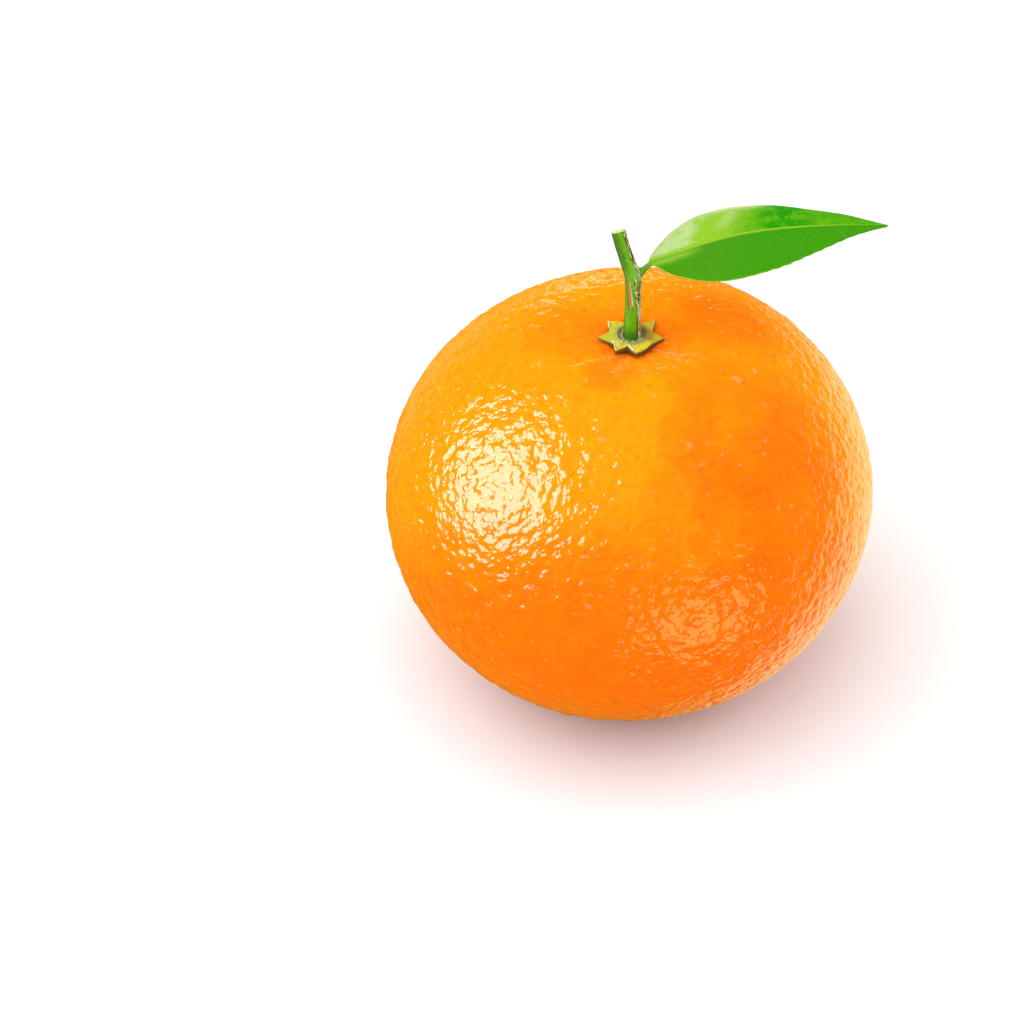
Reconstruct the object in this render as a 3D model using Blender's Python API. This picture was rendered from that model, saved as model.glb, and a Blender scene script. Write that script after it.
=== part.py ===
"""A whole mandarin as it was picked: the fruit, its calyx, a short piece of twig and one leaf.

Units are metres and +Z is up. The fruit stands on the small flat spot at its blossom end, and the
origin lies on that spot, under the middle of the fruit. The leaf points to +X.
"""

import math

import bmesh
import bpy
import numpy as np

MM = 0.001
DEGREE = math.pi / 180

# Spare room between two solids that touch in the real fruit
GAP = 0.3 * MM

# Fruit: a flattened round form, cut by the flat spot below and dented round the calyx above
FRUIT_WIDTH = 70 * MM
FRUIT_FLATNESS = 0.88
FRUIT_LEAN = 2.6 * DEGREE
FLAT_SPOT_CUT = 1.93 * MM
FLAT_SPOT_ROUNDING = 0.8 * MM
FRUIT_SIDES = 72
FRUIT_RINGS = 44
SHOULDER_FINENESS = 0.55
# Gentle unevenness of the round form: (bearing, elevation, height in millimetres)
SWELLS = (
    (157, 25, 0.3),
    (50, 44, 0.4),
    (-22, -35, -0.25),
    (-115, -20, 0.25),
    (-95, 35, 0.2),
    (100, -15, -0.3),
    (-60, 5, 0.2),
)
SWELL_SPREAD = 26 * DEGREE

# Dent and furrows at the stem end, with the calyx in their middle
TOP_X = 0.4 * MM
TOP_Y = 0.45 * MM
DENT_DEPTH = 3.9 * MM
DENT_RADIUS = 9 * MM
FURROW_DEPTH = 0.3 * MM
FURROW_WIDTH = 0.75 * MM
FURROW_START = 3.4 * MM
FURROW_END = 14 * MM
FURROW_ANGLES = (-34, -66, -84, -112, -142, 168, 137, 101, 62, 17)

# Calyx: a button with a pit for the twig, and lobes as (angle in degrees, reach in millimetres)
LOBES = ((-175, 4.9), (-120, 4.6), (-82, 4.6), (-49, 3.9), (-7, 4.7), (52, 5.0), (91, 4.8), (127, 4.7))
NOTCH_SHARE = 0.63
LOBE_STEPS = 4
PIT_RADIUS = 1.6 * MM
PIT_FLOOR = 0.9 * MM
COLLAR_RADIUS = 2.15 * MM
COLLAR_HEIGHT = 1.6 * MM
LOBE_THICKNESS = 0.65 * MM
CALYX_LIFT = 0.1 * MM

# Twig: (height above its foot, offset in X, offset in Y, radius), all in millimetres
TWIG_LINE = (
    (0.0, 0.00, 0.10, 1.27),
    (3.3, 0.10, 0.45, 1.16),
    (6.7, 0.16, 1.20, 1.13),
    (8.9, 0.05, 1.80, 1.12),
    (11.0, -0.66, 2.75, 1.06),
    (13.1, -1.42, 3.75, 1.02),
    (14.6, -1.84, 4.45, 1.00),
)
TWIG_SIDES = 20
TWIG_RINGS = 32
JOINT_HEIGHT = 8.3 * MM
JOINT_SWELL = 0.12 * MM
JOINT_SPREAD = 1.1 * MM
CUT_BEVEL = 0.12 * MM

# Leaf: (share of its length, x, y, z) along stalk and midrib, in millimetres from the origin
LEAF_LINE = (
    (0.00, 2.02, 2.90, 66.80),
    (0.05, 3.03, 3.70, 67.44),
    (0.14, 6.15, 4.60, 68.38),
    (0.27, 10.75, 5.60, 69.70),
    (0.40, 15.37, 6.50, 70.48),
    (0.50, 18.85, 7.20, 70.60),
    (0.67, 24.65, 8.20, 70.38),
    (0.80, 29.32, 8.90, 69.96),
    (1.00, 36.10, 9.80, 69.21),
)
# (share of the blade's length, half width in millimetres) of the near and the far half
NEAR_HALF = ((0, 0.35), (0.07, 2.9), (0.17, 5.4), (0.32, 6.8), (0.5, 6.3), (0.66, 4.4), (0.83, 1.7), (1, 0.15))
FAR_HALF = ((0, 0.35), (0.07, 3.6), (0.17, 6.4), (0.32, 7.2), (0.5, 6.5), (0.66, 5.0), (0.83, 2.85), (1, 0.15))
BLADE_START = 0.045
BLADE_THICKNESS = 0.6 * MM
STALK_RADIUS = 0.4 * MM
NEAR_TILT = 28 * DEGREE
FAR_TILT = 0 * DEGREE
BLADE_ARCH = 9 * DEGREE
EDGE_WAVE = 0.22 * MM
EDGE_SCALLOP = 0.09 * MM
SCALLOP_COUNT = 19
LEAF_SECTIONS = 88
LEAF_COLUMNS = 8

# Heights that follow from the dimensions above
FRUIT_RADIUS = FRUIT_WIDTH / 2
POLE_RADIUS = FRUIT_RADIUS * FRUIT_FLATNESS
MIDDLE_HEIGHT = POLE_RADIUS - FLAT_SPOT_CUT


def clear_scene():
    for thing in list(bpy.data.objects):
        bpy.data.objects.remove(thing)


def material(name, colour, roughness):
    """A plain Principled surface; nothing on the fruit is metal."""
    made = bpy.data.materials.new(name)
    made.use_nodes = True
    shader = made.node_tree.nodes["Principled BSDF"]
    shader.inputs["Base Color"].default_value = (*colour, 1)
    shader.inputs["Roughness"].default_value = roughness
    shader.inputs["Metallic"].default_value = 0
    made.diffuse_color = (*colour, 1)
    return made


def add_object(name, shape, surface):
    """Turns a finished bmesh into an object with outward faces and smooth shading."""
    bmesh.ops.recalc_face_normals(shape, faces=shape.faces)
    mesh = bpy.data.meshes.new(name)
    shape.to_mesh(mesh)
    shape.free()
    mesh.materials.append(surface)
    mesh.shade_smooth()
    mesh.set_sharp_from_angle(angle=50 * DEGREE)
    made = bpy.data.objects.new(name, mesh)
    bpy.context.scene.collection.objects.link(made)
    return made


def smooth_through(points, at):
    """Reads a smooth curve through rows of (parameter, values...) at the given parameters."""
    rows = np.array(points, float)
    knots, values = rows[:, 0], rows[:, 1:]
    slopes = np.gradient(values, knots, axis=0)
    at = np.clip(np.asarray(at, float), knots[0], knots[-1])
    left = np.clip(np.searchsorted(knots, at) - 1, 0, len(knots) - 2)
    span = (knots[left + 1] - knots[left])[:, None]
    t = (at - knots[left])[:, None] / span
    return (
        values[left] * (1 + 2 * t) * (1 - t) ** 2
        + slopes[left] * span * t * (1 - t) ** 2
        + values[left + 1] * t**2 * (3 - 2 * t)
        + slopes[left + 1] * span * t**2 * (t - 1)
    )


def loft(rings, halves_alike=False):
    """Skins rings of equal length into one closed body with flat ends.

    With halves_alike the second half of each ring runs back under the first, as on a leaf, and its
    triangles are split the same way as those above them.
    """
    shape = bmesh.new()
    rows = [[shape.verts.new(point) for point in ring] for ring in rings]
    count = len(rows[0])
    for near, far in zip(rows, rows[1:]):
        for i in range(count):
            j = (i + 1) % count
            if halves_alike and i >= count // 2:
                shape.faces.new((near[i], near[j], far[i]))
                shape.faces.new((near[j], far[j], far[i]))
            else:
                shape.faces.new((near[i], near[j], far[j]))
                shape.faces.new((near[i], far[j], far[i]))
    shape.faces.new(rows[0])
    shape.faces.new(list(reversed(rows[-1])))
    return shape


def round_form_height(x, y):
    """Height of the leaning round form's upper side over a point of the ground plane."""
    lean_sin, lean_cos = math.sin(FRUIT_LEAN), math.cos(FRUIT_LEAN)
    wide, high = FRUIT_RADIUS**-2, POLE_RADIUS**-2
    a = lean_sin**2 * wide + lean_cos**2 * high
    b = 2 * x * lean_sin * lean_cos * (wide - high)
    c = x**2 * (lean_cos**2 * wide + lean_sin**2 * high) + y**2 * wide - 1
    return MIDDLE_HEIGHT + (-b + np.sqrt(b * b - 4 * a * c)) / (2 * a)


def dent(x, y):
    """How far the peel sinks round the calyx."""
    return DENT_DEPTH * np.exp(-((x - TOP_X) ** 2 + (y - TOP_Y) ** 2) / DENT_RADIUS**2)


def furrows(x, y):
    """Depth of the fine furrows that run out from under the calyx and fade."""
    away = np.hypot(x - TOP_X, y - TOP_Y)
    bearing = np.arctan2(y - TOP_Y, x - TOP_X)
    fade = np.clip((FURROW_END - away) / (FURROW_END - FURROW_START), 0, 1)
    fade = fade * np.clip(away / FURROW_START, 0, 1) ** 2
    depth = np.zeros_like(away)
    for angle in FURROW_ANGLES:
        turn = (bearing - angle * DEGREE + math.pi) % (2 * math.pi) - math.pi
        aside = np.where(np.abs(turn) < math.pi / 2, away * np.sin(turn), away)
        depth += np.exp(-((aside / FURROW_WIDTH) ** 2))
    return FURROW_DEPTH * fade * np.minimum(depth, 1)


def seat_height(x, y):
    """Height of the peel under the calyx, furrows left out."""
    return round_form_height(x, y) - dent(x, y)


def swell(toward):
    """How far the peel stands out or in, as the sum of broad low swells."""
    height = np.zeros(toward.shape[:-1])
    for bearing, elevation, rise in SWELLS:
        a, b = bearing * DEGREE, elevation * DEGREE
        middle = np.array((math.cos(a) * math.cos(b), math.sin(a) * math.cos(b), math.sin(b)))
        apart = np.arccos(np.clip(toward @ middle, -1, 1))
        height += rise * MM * np.exp(-((apart / SWELL_SPREAD) ** 2))
    return height


def fruit_surface(polar, bearing):
    """Points of the peel in the given directions from the middle of the round form."""
    toward = np.stack(
        (np.sin(polar) * np.cos(bearing), np.sin(polar) * np.sin(bearing), np.cos(polar)), axis=-1
    )
    axis = np.array((-math.sin(FRUIT_LEAN), 0, math.cos(FRUIT_LEAN)))
    along = toward @ axis
    reach = 1 / np.sqrt((1 - along**2) / FRUIT_RADIUS**2 + along**2 / POLE_RADIUS**2)
    points = toward * (reach + swell(toward) * np.sin(polar) ** 2)[..., None]
    sunk = dent(points[..., 0], points[..., 1]) + furrows(points[..., 0], points[..., 1])
    sunk = np.where(toward[..., 2] > 0, sunk, 0)
    height = points[..., 2] + MIDDLE_HEIGHT - sunk
    rounding = FLAT_SPOT_ROUNDING
    eased = np.clip(height + rounding, 0, 2 * rounding) ** 2 / (4 * rounding)
    points[..., 2] = np.where(height > rounding, height, eased)
    return points


def build_fruit(surface):
    """Moves a UV sphere's points onto the peel, with its rings drawn together towards the calyx."""
    shape = bmesh.new()
    bmesh.ops.create_uvsphere(shape, u_segments=FRUIT_SIDES, v_segments=FRUIT_RINGS, radius=1)
    directions = np.array([vert.co for vert in shape.verts])
    polar = np.arccos(np.clip(directions[:, 2], -1, 1))
    polar = polar - SHOULDER_FINENESS * np.sin(polar) * (1 + np.cos(polar)) / 2
    bearing = np.arctan2(directions[:, 1], directions[:, 0])
    for vert, point in zip(shape.verts, fruit_surface(polar, bearing)):
        vert.co = point
    return add_object("fruit", shape, surface)


def lobe_outline():
    """Bearings round the calyx and its reach at each, straight from lobe tip to notch and back."""
    tips = sorted((angle * DEGREE, reach * MM) for angle, reach in LOBES)
    corners = []
    for (angle, reach), (next_angle, next_reach) in zip(tips, tips[1:] + tips[:1]):
        turn = (next_angle - angle) % (2 * math.pi)
        corners.append((angle, reach))
        corners.append((angle + turn / 2, NOTCH_SHARE * min(reach, next_reach)))
    outline = []
    for (angle, reach), (next_angle, next_reach) in zip(corners, corners[1:] + corners[:1]):
        start = np.array((reach * math.cos(angle), reach * math.sin(angle)))
        end = np.array((next_reach * math.cos(next_angle), next_reach * math.sin(next_angle)))
        for step in range(LOBE_STEPS):
            x, y = start + (end - start) * step / LOBE_STEPS
            outline.append((math.atan2(y, x), math.hypot(x, y)))
    return outline


def calyx_thickness(away):
    """Height of the calyx's upper side over its underside: pit floor, collar, then thinning lobes."""
    collar = np.clip((away - PIT_RADIUS) / (COLLAR_RADIUS - PIT_RADIUS), 0, 1)
    collar = collar * collar * (3 - 2 * collar)
    outward = np.clip((away - COLLAR_RADIUS) / (4.9 * MM - COLLAR_RADIUS), 0, 1)
    return PIT_FLOOR + (COLLAR_HEIGHT - PIT_FLOOR) * collar - (COLLAR_HEIGHT - LOBE_THICKNESS) * outward**0.8


def build_calyx(surface):
    """A star-edged button: rings of points above and below, drawn in to the middle of each side."""
    outline = lobe_outline()
    bearing = np.array([angle for angle, _ in outline])
    reach = np.array([far for _, far in outline])
    inner = np.array((0.45, 0.85, 1)) * PIT_RADIUS
    collar = PIT_RADIUS + np.array((0.4, 0.7, 1)) * (COLLAR_RADIUS - PIT_RADIUS)
    ways = [np.full_like(reach, far) for far in (*inner, *collar)]
    ways += [COLLAR_RADIUS + share * (reach - COLLAR_RADIUS) for share in (0.25, 0.5, 0.75, 1)]
    ways = np.array(ways)
    x = TOP_X + ways * np.cos(bearing)
    y = TOP_Y + ways * np.sin(bearing)
    lift = CALYX_LIFT * np.clip(ways / ways.max(), 0, 1) ** 3
    below = seat_height(x, y) + GAP + lift
    above = below + calyx_thickness(ways)
    under = [np.stack(row, axis=-1) for row in zip(x, y, below)]
    over = [np.stack(row, axis=-1) for row in zip(x, y, above)]
    return add_object("calyx", loft(under + over[::-1]), surface)


def twig_foot():
    """Where the twig stands: over the floor of the calyx's pit."""
    return np.array((TOP_X, TOP_Y, seat_height(TOP_X, TOP_Y) + PIT_FLOOR + 2 * GAP))


def build_twig(surface):
    """A tapering tube with a swelling at the leaf joint and a cut across its top."""
    heights = np.linspace(0, TWIG_LINE[-1][0], TWIG_RINGS)
    line = smooth_through(TWIG_LINE, heights) * MM
    centres = np.column_stack((line[:, :2], heights * MM)) + twig_foot()
    tangents = np.gradient(centres, axis=0)
    tangents /= np.linalg.norm(tangents, axis=1)[:, None]
    angles = np.arange(TWIG_SIDES) * 2 * math.pi / TWIG_SIDES
    rings = []
    for centre, tangent, radius, height in zip(centres, tangents, line[:, 2], heights * MM):
        side = np.cross((0, 1, 0), tangent)
        side /= np.linalg.norm(side)
        front = np.cross(tangent, side)
        swell = JOINT_SWELL * math.exp(-(((height - JOINT_HEIGHT) / JOINT_SPREAD) ** 2))
        out = radius + swell * np.clip(np.cos(angles), 0, 1) ** 2
        ring = centre + out[:, None] * (np.cos(angles)[:, None] * side + np.sin(angles)[:, None] * front)
        rings.append(ring)
    rim = centres[-1] + (rings[-1] - centres[-1]) * (1 - CUT_BEVEL / line[-1, 2])
    rings.append(rim + tangents[-1] * CUT_BEVEL)
    return add_object("stem", loft(rings), surface)


def leaf_sections():
    """Middle line, blade share, side directions and half widths of each cross section."""
    share = np.linspace(0, 1, LEAF_SECTIONS)
    middle = smooth_through(LEAF_LINE, share) * MM
    along = np.gradient(middle, axis=0)
    along /= np.linalg.norm(along, axis=1)[:, None]
    blade = np.clip((share - BLADE_START) / (1 - BLADE_START), 0, 1)
    scallop = EDGE_SCALLOP * np.sin(2 * math.pi * SCALLOP_COUNT * blade) * np.sin(math.pi * blade)
    halves = []
    for rows in (NEAR_HALF, FAR_HALF):
        halves.append(smooth_through(rows, blade)[:, 0] * MM + scallop)
    return middle, along, blade, halves


def build_leaf(surface):
    """A stalk that widens into an arched blade, folded a little along the midrib."""
    middle, along, blade, (near_half, far_half) = leaf_sections()
    columns = np.linspace(-1, 1, LEAF_COLUMNS + 1)
    rings = []
    for centre, tangent, share, near, far in zip(middle, along, blade, near_half, far_half):
        level = np.cross((0, 0, 1), tangent)
        level /= np.linalg.norm(level)
        upright = np.cross(tangent, level)
        spread = min(1, share / 0.06)
        over, under = [], []
        for v in columns:
            half, tilt = (near, NEAR_TILT + BLADE_ARCH * v) if v < 0 else (far, FAR_TILT - BLADE_ARCH * v)
            tilt *= spread
            across = math.cos(tilt) * level + math.sin(tilt) * upright
            normal = math.cos(tilt) * upright - math.sin(tilt) * level
            wave = EDGE_WAVE * v * v * math.sin(7 * math.pi * share + v) * math.sin(math.pi * share)
            point = centre + v * half * across + wave * normal
            half_thick = STALK_RADIUS * math.sqrt(1 - 0.85 * v * v) * (1 - spread)
            half_thick += BLADE_THICKNESS / 2 * spread
            over.append(point + half_thick * upright)
            under.append(point - half_thick * upright)
        rings.append(over + under[::-1])
    return add_object("leaf", loft(rings, halves_alike=True), surface)


def main():
    clear_scene()
    build_fruit(material("peel", (1.0, 0.33, 0.01), 0.35))
    build_calyx(material("dry calyx", (0.50, 0.45, 0.03), 0.6))
    build_twig(material("green bark", (0.10, 0.33, 0.02), 0.5))
    build_leaf(material("leaf blade", (0.08, 0.38, 0.01), 0.35))


main()
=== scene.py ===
"""A fresh mandarin with its calyx, twig and leaf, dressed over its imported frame.

Sizes are in metres and +Z is up. The fruit's form is the frame's own, drawn from the same formulas
with far more points, so that the relief of peel, bark and blade is in the meshes.
"""

import math

import bpy
import numpy as np
from bpy.props import FloatProperty, FloatVectorProperty, IntProperty, PointerProperty
from mathutils import Matrix, Vector, kdtree, noise


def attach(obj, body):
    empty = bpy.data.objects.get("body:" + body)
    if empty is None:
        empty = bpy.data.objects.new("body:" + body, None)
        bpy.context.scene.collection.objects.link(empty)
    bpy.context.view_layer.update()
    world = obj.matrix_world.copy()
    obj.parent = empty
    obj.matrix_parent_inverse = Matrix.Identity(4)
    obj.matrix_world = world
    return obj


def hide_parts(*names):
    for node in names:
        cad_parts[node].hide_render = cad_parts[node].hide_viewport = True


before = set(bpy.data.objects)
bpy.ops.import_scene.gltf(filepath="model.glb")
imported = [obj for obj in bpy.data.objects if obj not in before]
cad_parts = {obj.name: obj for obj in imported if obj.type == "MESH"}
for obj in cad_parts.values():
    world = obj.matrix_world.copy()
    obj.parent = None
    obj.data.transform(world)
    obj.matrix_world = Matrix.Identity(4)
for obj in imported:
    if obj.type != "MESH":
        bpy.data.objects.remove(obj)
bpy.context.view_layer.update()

bl_info = {
    "name": "Mandarin with leaf",
    "version": (1, 0, 0),
    "blender": (4, 5, 0),
    "location": "3D View > Sidebar > Mandarin",
    "description": "Dresses a packed mandarin with its peel, calyx, twig and leaf, and sets it on a stage",
    "category": "Add Mesh",
}

MM = 0.001
DEGREE = math.pi / 180

# The round form, as in the frame
FRUIT_RADIUS = 35 * MM
POLE_RADIUS = 0.88 * FRUIT_RADIUS
FRUIT_LEAN = 2.6 * DEGREE
MIDDLE_HEIGHT = POLE_RADIUS - 1.93 * MM
FLAT_SPOT_ROUNDING = 0.8 * MM
# Broad swells: (bearing, elevation, height in millimetres)
SWELLS = (
    (157, 25, 0.3),
    (50, 44, 0.4),
    (-22, -35, -0.25),
    (-115, -20, 0.25),
    (-95, 35, 0.2),
    (100, -15, -0.3),
    (-60, 5, 0.2),
)
SWELL_SPREAD = 26 * DEGREE
# Patches coloured deeper: riper peel and painted shade on the right flank, and painted shade on the lower
# front, under the leaf and beside the calyx: (direction, cosine where it starts, cosine where it is full,
# share)
RIPE_AND_SHADED_PATCHES = (
    ((0.596, -0.555, 0.580), 0.79, 1.06, 1.0),
    ((0.025, -0.714, -0.700), 0.02, 0.53, 0.78),
    ((0.447, 0.118, 0.887), 0.945, 0.998, 0.45),
    ((0.176, 0.022, 0.984), 0.985, 1.0, 0.55),
    ((-0.298, 0.061, 0.953), 0.96, 1.0, 0.4),
    ((-0.076, -0.270, 0.960), 0.985, 1.0, 0.6),
    ((0.290, -0.260, 0.921), 0.97, 1.0, 0.35),
)
TOP_X = 0.4 * MM
TOP_Y = 0.45 * MM
DENT_DEPTH = 3.9 * MM
DENT_RADIUS = 9 * MM
FURROW_DEPTH = 0.3 * MM
FURROW_WIDTH = 0.75 * MM
FURROW_START = 3.4 * MM
FURROW_END = 14 * MM
FURROW_ANGLES = (-34, -66, -84, -112, -142, 168, 137, 101, 62, 17)
# Round the calyx, gland pits are shallow and the peel is painted in shade, both fading between two distances,
# and its colour is painted deeper over a spread as the shade of the dent
SHALLOW_RING = (3 * MM, 6.5 * MM)
SHADE_RING = (3.8 * MM, 5.6 * MM)
COLLAR_SPREAD = 5.5 * MM
# How high above the flat spot the relief only reaches up into the fruit
LEVEL_HEIGHT = 1.2 * MM
# The blossom end under the fruit: where its scar is, the hollow round it and the scar's own depth
BLOSSOM_X = -0.6 * MM
BLOSSOM_Y = 0.4 * MM
BLOSSOM_HOLLOW = 0.75 * MM
BLOSSOM_SPREAD = 2.6 * MM
BLOSSOM_SCAR = 0.25 * MM
BLOSSOM_EDGE = (0.5 * MM, 1.5 * MM)
# The oil glands lie on a spiral of golden turns, scattered by a share of their distance
GLAND_SEED = 11
GLAND_SCATTER = 0.36
GOLDEN_TURN = math.pi * (3 - math.sqrt(5))

CREASE_WIDTH = 0.16 * MM
# Fine creases that run out from the calyx: (bearing, start, end, bend), in degrees and millimetres
CREASES = (
    (-30, 3.6, 13.5, 0.5),
    (-97, 4.2, 7.5, 0.3),
    (-108, 4.4, 9.0, -0.3),
    (-122, 4.0, 8.0, 0.5),
    (178, 4.6, 7.5, 0.5),
    (96, 4.5, 8.0, -0.5),
)

# Calyx lobes: (bearing, reach in millimetres, lift of the tip in millimetres, how far in the
# notch before the next lobe stays out, as a share of the shorter of the two)
LOBES = (
    (-178, 4.9, 0.25, 0.72),
    (-124, 4.1, 0.25, 0.62),
    (-82, 3.95, 0.25, 1.0),
    (-50, 3.5, 0.2, 0.92),
    (-4, 4.6, 0.2, 0.68),
    (50, 5.3, 0.2, 0.68),
    (91, 4.8, 0.2, 0.7),
    (120, 4.3, 0.25, 0.98),
    (134, 4.9, 0.35, 0.7),
)
# Sides of the calyx with their own colour: (middle bearing, how far from it full, how far at all)
RUST_SIDE = (32, 40, 80)
GREEN_SIDE = (175, 25, 70)
# Where the calyx's edge has a pale dry lip: (first bearing, last bearing)
LIPS = ((-157, -122), (-104, -84), (133, 147))
PIT_RADIUS = 1.6 * MM
PIT_FLOOR = 1.25 * MM
COLLAR_RADIUS = 2.15 * MM
COLLAR_HEIGHT = 1.6 * MM
TIP_THICKNESS = 0.16 * MM
# Where the lobes are as thin as their tips, and the share of the way out where their colour is full
LOBE_END = 4.9 * MM
FLESH_SHARE = 0.4
CALYX_SEAT = 0.05 * MM

# Twig: (height above its foot, offset in X, offset in Y, radius), all in millimetres
TWIG_LINE = (
    (-0.4, 0.00, 0.08, 1.32),
    (0.0, 0.00, 0.10, 1.27),
    (3.3, 0.10, 0.45, 1.16),
    (6.7, 0.16, 1.20, 1.13),
    (8.9, 0.05, 1.80, 1.12),
    (11.0, -0.66, 2.75, 1.06),
    (13.1, -1.42, 3.75, 1.02),
    (14.6, -1.84, 4.45, 1.04),
)
TWIG_FOOT_RISE = 1.5 * MM
JOINT_HEIGHT = 8.3 * MM
JOINT_SWELL = 0.16 * MM
JOINT_SPREAD = 1.3 * MM
# Rings of the cut end: (share of the radius, rise in millimetres)
CUT_RINGS = (
    *((0.975, 0.05), (0.93, 0.09), (0.86, 0.08), (0.72, 0.05)),
    *((0.55, 0.03), (0.35, -0.03), (0.15, -0.06)),
)
# The slit scar: its turn from the right, and its middle and half length in millimetres
SCAR_TURN = -2.02
SCAR_MIDDLE = 6.75
SCAR_HALF = 2.4
# Corky strands: rows of (height, turn), half width, and the heights where they start and end
CORK_STRANDS = (
    (((-0.4, -0.5), (3, -0.55), (6, -0.45), (8.4, -0.35), (11, -0.45), (14.6, -0.45)), 0.38, -1, 14.6),
    (((-0.4, -0.7), (3, -0.72), (4.6, -0.9), (6, -1.15), (8.8, -1.15), (14.6, -1.2)), 0.15, 1.5, 8.4),
)

# Leaf: (share of its length, x, y, z) along stalk and midrib, in millimetres
LEAF_LINE = (
    (-0.035, 1.15, 2.45, 66.15),
    (0.00, 2.02, 2.90, 66.80),
    (0.05, 3.03, 3.70, 67.44),
    (0.14, 6.15, 4.60, 68.15),
    (0.27, 10.75, 5.60, 69.35),
    (0.40, 15.37, 6.50, 70.14),
    (0.50, 18.85, 7.20, 70.30),
    (0.67, 24.65, 8.20, 70.20),
    (0.80, 29.32, 8.90, 69.87),
    (1.00, 36.10, 9.80, 69.21),
)
# Half widths: (share of the blade's length, millimetres)
NEAR_HALF = (
    *((0, 0.35), (0.07, 3.1), (0.17, 5.65), (0.32, 7.15)),
    *((0.5, 6.4), (0.66, 4.7), (0.83, 1.95), (1, 0.1)),
)
FAR_HALF = (
    *((0, 0.35), (0.07, 3.8), (0.17, 6.75), (0.32, 7.75)),
    *((0.5, 7.1), (0.66, 5.3), (0.83, 3.1), (1, 0.1)),
)
BLADE_START = 0.045
BLADE_LENGTH = 34.5
NEAR_TILT = 28 * DEGREE
NEAR_ARCH = 9 * DEGREE
FAR_ARCH = 6 * DEGREE
EDGE_WAVE = 0.22 * MM
EDGE_SCALLOP = 0.06 * MM
SCALLOP_COUNT = 19
# Columns crowd towards the edge as the sine of angles up to this one
EDGE_CROWDING = 1.35
STALK_RADIUS = 0.4 * MM
STALK_FLARE = 0.32 * MM
RIB_WIDTH = 0.42
RIB_DEPTH = 0.38 * MM
VEIN_SLANT = 0.8
VEIN_BEND = 0.035

# Grain of each surface, as rows of (size, strength, offset of the noise)
PEEL_BUMPS = ((2.6, 1, 0), (1.15, 0.95, 7.3))
PEEL_PATCHES = ((9, 0.07, 2.7), (4, 0.04, 5.1))
LOBE_EDGES = ((0.2, 0.1, 0), (0.07, 0.05, 5))
BARK_RIDGES = ((0.32, 1, 0), (0.14, 0.5, 3))
LEAF_MOTTLE = ((1.6, 1, 0), (0.6, 0.5, 4))
LEAF_BLOTCHES = ((1.5, 1, 3.3), (0.5, 0.5, 6.1))

# Viewpoint: how far and how high it stands from the middle of the fruit, and what it looks at
VIEW_DISTANCE = 600 * MM
VIEW_HEIGHT = 40 * DEGREE
VIEW_ASIDE = 16.89 * MM
VIEW_BELOW = 2.83 * MM
VIEW_LENS = 146.14

# What the gloss shows, in the order wall on the right, warm wall on the left, strip behind and warm
# glow in front: (direction, angle of its edge, angle of its full core), in degrees
CARDS = (
    ((0.60, 0.55, -0.58), 40, 14),
    ((-0.43, 0.86, -0.27), 19, 7),
    ((-0.08, 0.997, 0.0), 9, 6),
    ((0.47, -0.80, -0.37), 21, 18),
)
# Lamps: (direction, distance in metres)
SOFT_LAMP = ((-0.45, -0.28, 0.85), 0.9)
BACK_LAMP = ((0.87, 0.40, 0.15), 0.9)
KEY_LAMP = ((-0.87, -0.21, 0.46), 0.62)


def linear(code):
    """An sRGB hex colour as linear red, green and blue."""
    parts = [int(code[place : place + 2], 16) / 255 for place in (1, 3, 5)]
    return tuple(part / 12.92 if part <= 0.04045 else ((part + 0.055) / 1.055) ** 2.4 for part in parts)


def colour(name, of, code):
    """A colour property whose default is an sRGB hex colour."""
    return FloatVectorProperty(
        name=name, description="Colour of " + of, subtype="COLOR", size=3, min=0, max=1, default=linear(code)
    )


def length(name, description, millimetres):
    """A length property."""
    return FloatProperty(
        name=name, description=description, default=millimetres * MM, unit="LENGTH", precision=6
    )


def radiance(name, of, default):
    """A property for how bright something is."""
    return FloatProperty(name=name, description="Radiance of " + of, default=default, min=0)


def mesh_count(name, of, default):
    """A property for how many cells, columns or rings a mesh has."""
    return IntProperty(name=name, description="Mesh " + of, default=default, min=4)


class PeelSettings(bpy.types.PropertyGroup):
    """Sizes and colours of the peel."""

    cells: mesh_count("Cells", "cells along each of the six sides", 216)
    gland_spacing: length("Gland spacing", "Distance between oil glands", 1.5)
    gland_small: length("Small gland", "Radius of the smallest pits", 0.36)
    gland_large: length("Large gland", "Radius of the largest pits", 0.75)
    gland_depth: length("Gland depth", "Depth of the deepest pits", 0.07)
    pore_spacing: length("Pore spacing", "Distance between the small pores", 1.4)
    pore_depth: length("Pore depth", "Depth of the small pores", 0.07)
    speck_spacing: length("Speck spacing", "Size of the cells that may hold a pale speck", 1.9)
    speck_height: length("Speck height", "How far the dry specks stand out", 0.11)
    streak_width: length("Streak width", "Width of the thin dry streaks", 0.8)
    streak_height: length("Streak height", "How far the dry streaks stand out", 0.05)
    unevenness: length("Unevenness", "Height of the low bumps between the glands", 0.14)
    crease_depth: length("Crease depth", "Depth of the fine creases round the calyx", 0.06)
    light: colour("Light peel", "the peel on its paler side", "#F18003")
    # The deep colour is both riper peel and painted shade
    deep: colour("Deep peel", "the riper patches and the painted shade", "#EE5C03")
    # The collar and under-calyx colours are painted shade round the calyx
    collar: colour("Collar", "the peel round the calyx", "#EC5E08")
    shade: colour("Under calyx", "the peel right beside the calyx", "#B8480C")
    crease: colour("Crease", "the creases' painted highlight and the pale specks and streaks", "#F0A070")
    scar: colour("Scar", "the blossom-end scar", "#6B4A22")


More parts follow.
